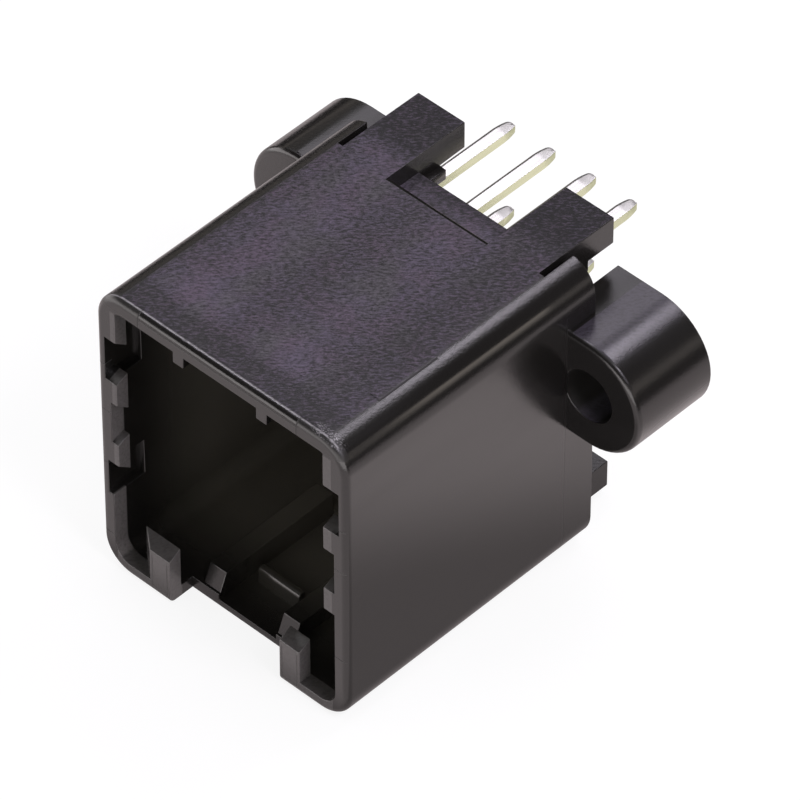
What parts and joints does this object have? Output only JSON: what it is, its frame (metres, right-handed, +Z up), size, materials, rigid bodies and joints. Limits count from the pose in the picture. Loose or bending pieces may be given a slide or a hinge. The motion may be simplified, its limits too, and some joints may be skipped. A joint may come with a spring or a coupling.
{
  "type": "board-mount connector socket housing",
  "caption": "Black moulded socket shroud with keyed mouth, latch notch, board standoffs and screw ears, holding flat tinned blade contacts with solder tails.",
  "frame": {"origin": "midway between the two ear screw holes, on the circuit board's plane at the ears' rear faces", "axes": "+Y out of the rear along the screws and solder tails, into the board; the mouth faces -Y; +Z up, away from the latch notch; +X along the contact rows, to the right seen from the mouth"},
  "size_m": [0.024, 0.0229, 0.0173],
  "materials": {
    "black_plastic": "black glass-filled moulded plastic, fine spark-eroded grain on the flats, glossier on rounded edges",
    "tinned_strip": "bright tin plate on brass strip"
  },
  "bodies": {
    "root": {"housing": "black_plastic", "contact_upper_1": "tinned_strip", "contact_upper_2": "tinned_strip", "contact_upper_3": "tinned_strip", "contact_upper_4": "tinned_strip", "contact_lower_1": "tinned_strip", "contact_lower_2": "tinned_strip", "contact_lower_3": "tinned_strip", "contact_lower_4": "tinned_strip"}
  },
  "joints": []
}
